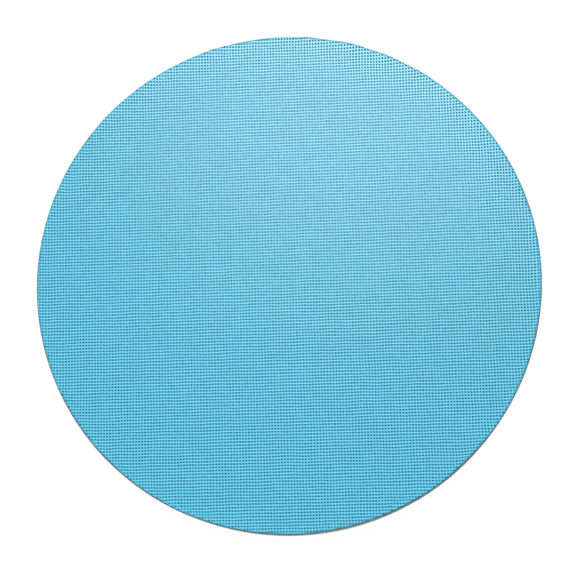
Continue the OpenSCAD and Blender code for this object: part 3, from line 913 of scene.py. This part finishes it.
def thread_tree(name):
    """Tree of the threads of a ring of screws: on each shank one wound ridge that runs out at both ends."""
    floats = ("Ring Radius", "First Bearing", "Shank Radius", "Pitch", "Ridge", "Length", "Bottom Height")
    tree, add, sizes = new_tree(name, floats, {"Screws": "NodeSocketInt"})
    steps_per_turn = 20
    section_sides = 4
    # The ridge shrinks to this share of its height over this share of the helix at each end
    runout_height = 0.15
    runout_length = 0.12

    # One ridge of a diamond section, half of it sunk in the shank
    turns = add(MATH, {0: sizes["Length"], 1: sizes["Pitch"]}, "DIVIDE")[0]
    helix = add(
        "GeometryNodeCurveSpiral",
        {
            "Resolution": steps_per_turn,
            "Rotations": turns,
            "Start Radius": sizes["Shank Radius"],
            "End Radius": sizes["Shank Radius"],
            "Height": sizes["Length"],
        },
    )[0]
    diamond = {"Resolution": section_sides, "Radius": sizes["Ridge"]}
    section = add("GeometryNodeCurvePrimitiveCircle", diamond, mode="RADIUS")[0]
    factor = add("GeometryNodeSplineParameter")["Factor"]
    from_ends = add(MATH, {0: factor, 1: 0.5}, "PINGPONG")[0]
    shrinking = {0: from_ends, "From Max": runout_length, "To Min": runout_height, "To Max": 1.0}
    runout = add(MAP_RANGE, shrinking)[0]
    wound = {"Curve": helix, "Profile Curve": section, "Scale": runout, "Fill Caps": True}
    ridge = add("GeometryNodeCurveToMesh", wound)[0]

    # The same ridge on every screw of the ring
    spots = screw_spots(add, sizes, sizes["Bottom Height"])
    ridges = add("GeometryNodeInstanceOnPoints", {"Points": spots, "Instance": ridge})[0]
    finish_tree(add, ridges, sizes)
    return tree


class PIVOTDISC_OT_stage(bpy.types.Operator):
    """Sets the camera, the white floor and the studio light"""

    bl_idname = "pivotdisc.stage"
    bl_label = "Stage"

    def execute(self, context):
        stage = context.scene.pivot_disc.stage
        context.scene.view_settings.view_transform = "Standard"
        place_camera(context, stage)
        lay_floor(context)
        hang_lights(context, stage)
        return {"FINISHED"}


def leaning(lean, turn):
    """Direction that leans from the vertical towards a side, where turn 0 is the front, along -Y."""
    return Vector((math.sin(lean) * math.sin(turn), -math.sin(lean) * math.cos(turn), math.cos(lean)))


def facing(spot, target):
    """Matrix of an object at a spot that looks at a target, with the image's top towards +Y."""
    back = (spot - target).normalized()
    right = Vector((0.0, 1.0, 0.0)).cross(back).normalized()
    turn = Matrix((right, back.cross(right), back)).transposed()
    return Matrix.Translation(spot) @ turn.to_4x4()


def place_camera(context, stage):
    """Camera above the disc, a little to the front and right of it."""
    data = bpy.data.cameras.new("camera")
    data.sensor_width = SENSOR_WIDTH_MM
    data.lens = SENSOR_WIDTH_MM * stage.focal_px / IMAGE_PX
    camera = bpy.data.objects.new("camera", data)
    middle = Vector((0.0, 0.0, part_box("top_grip_mat")[1][2]))
    spot = middle + stage.camera_distance * leaning(stage.camera_tilt, stage.camera_turn)
    view = facing(spot, middle).to_3x3()
    aim = middle + view @ Vector((stage.aim_right, -stage.aim_down, 0.0))
    camera.matrix_world = facing(spot, aim)
    context.scene.collection.objects.link(camera)
    context.scene.camera = camera


def background_rays(add):
    """Socket that is 1 for the rays that show the background: seen, mirrored or through glass."""
    path = add("ShaderNodeLightPath")
    shown = path["Is Camera Ray"]
    for ray in ("Is Glossy Ray", "Is Transmission Ray"):
        shown = add(MATH, {0: shown, 1: path[ray]}, "MAXIMUM")[0]
    return shown


def lay_floor(context):
    """White floor that still takes a soft shadow."""
    half = 4.0
    white_share = 0.93
    white_strength = 1.03
    paint_colour = (0.9, 0.9, 0.9, 1.0)
    mesh = bpy.data.meshes.new("floor")
    corners = [(-half, -half, 0.0), (half, -half, 0.0), (half, half, 0.0), (-half, half, 0.0)]
    mesh.from_pydata(corners, [], [(0, 1, 2, 3)])
    floor = bpy.data.objects.new("floor", mesh)
    context.scene.collection.objects.link(floor)
    material = bpy.data.materials.new("painted_floor")
    add = cleared(material)
    share = add(MATH, {0: background_rays(add), 1: white_share}, "MULTIPLY")[0]
    paint = add("ShaderNodeBsdfDiffuse", {"Color": paint_colour})[0]
    white = add("ShaderNodeEmission", {"Strength": white_strength})[0]
    mixed = add("ShaderNodeMixShader", {0: share, 1: paint, 2: white})[0]
    add("ShaderNodeOutputMaterial", {"Surface": mixed})
    mesh.materials.append(material)


def hang_lights(context, stage):
    """A softbox behind the disc, a weaker one in front, and even white light from all round."""
    for side in ("back", "front"):
        data = bpy.data.lights.new(side + "_softbox", "AREA")
        data.size = getattr(stage, side + "_size")
        data.energy = getattr(stage, side + "_power")
        softbox = bpy.data.objects.new(side + "_softbox", data)
        way = leaning(getattr(stage, side + "_lean"), getattr(stage, side + "_turn"))
        softbox.matrix_world = facing(getattr(stage, side + "_distance") * way, Vector((0.0, 0.0, 0.0)))
        context.scene.collection.objects.link(softbox)

    world = bpy.data.worlds.new("studio")
    add = cleared(world)
    strength = add(MAP_RANGE, {0: background_rays(add), "To Min": stage.fill_strength, "To Max": 1.0})[0]
    sky = add("ShaderNodeBackground", {"Color": (1.0, 1.0, 1.0, 1.0), "Strength": strength})[0]
    add("ShaderNodeOutputWorld", {"Surface": sky})
    context.scene.world = world


class PIVOTDISC_PT_panel(bpy.types.Panel):
    """Lists the steps that dress the pivot disc"""

    bl_idname = "PIVOTDISC_PT_panel"
    bl_label = "Pivot disc"
    bl_space_type = "VIEW_3D"
    bl_region_type = "UI"
    bl_category = "Pivot disc"

    def draw(self, context):
        for step in STEPS:
            self.layout.operator(step.bl_idname)


STEPS = (
    PIVOTDISC_OT_stage,
    PIVOTDISC_OT_grip_mats,
    PIVOTDISC_OT_mat_films,
    PIVOTDISC_OT_plates,
    PIVOTDISC_OT_races,
    PIVOTDISC_OT_race_screws,
    PIVOTDISC_OT_balls,
    PIVOTDISC_OT_nylon_pieces,
    PIVOTDISC_OT_centre_pivot,
)
SETTINGS = (GripMatSettings, FinishSettings, ThreadSettings, RaceSettings, StageSettings, PivotDiscSettings)
CLASSES = (*SETTINGS, *STEPS, PIVOTDISC_PT_panel)


def register():
    """Registers the classes and hangs the settings on the scene."""
    for kind in CLASSES:
        bpy.utils.register_class(kind)
    bpy.types.Scene.pivot_disc = bpy.props.PointerProperty(type=PivotDiscSettings)


def unregister():
    """Takes the settings and the classes away again."""
    del bpy.types.Scene.pivot_disc
    for kind in reversed(CLASSES):
        bpy.utils.unregister_class(kind)


def main():
    """Runs every step in order."""
    register()
    bpy.ops.pivotdisc.stage()
    bpy.ops.pivotdisc.grip_mats()
    bpy.ops.pivotdisc.mat_films()
    bpy.ops.pivotdisc.plates()
    bpy.ops.pivotdisc.races()
    bpy.ops.pivotdisc.race_screws()
    bpy.ops.pivotdisc.balls()
    bpy.ops.pivotdisc.nylon_pieces()
    bpy.ops.pivotdisc.centre_pivot()


if __name__ == "__main__":
    main()
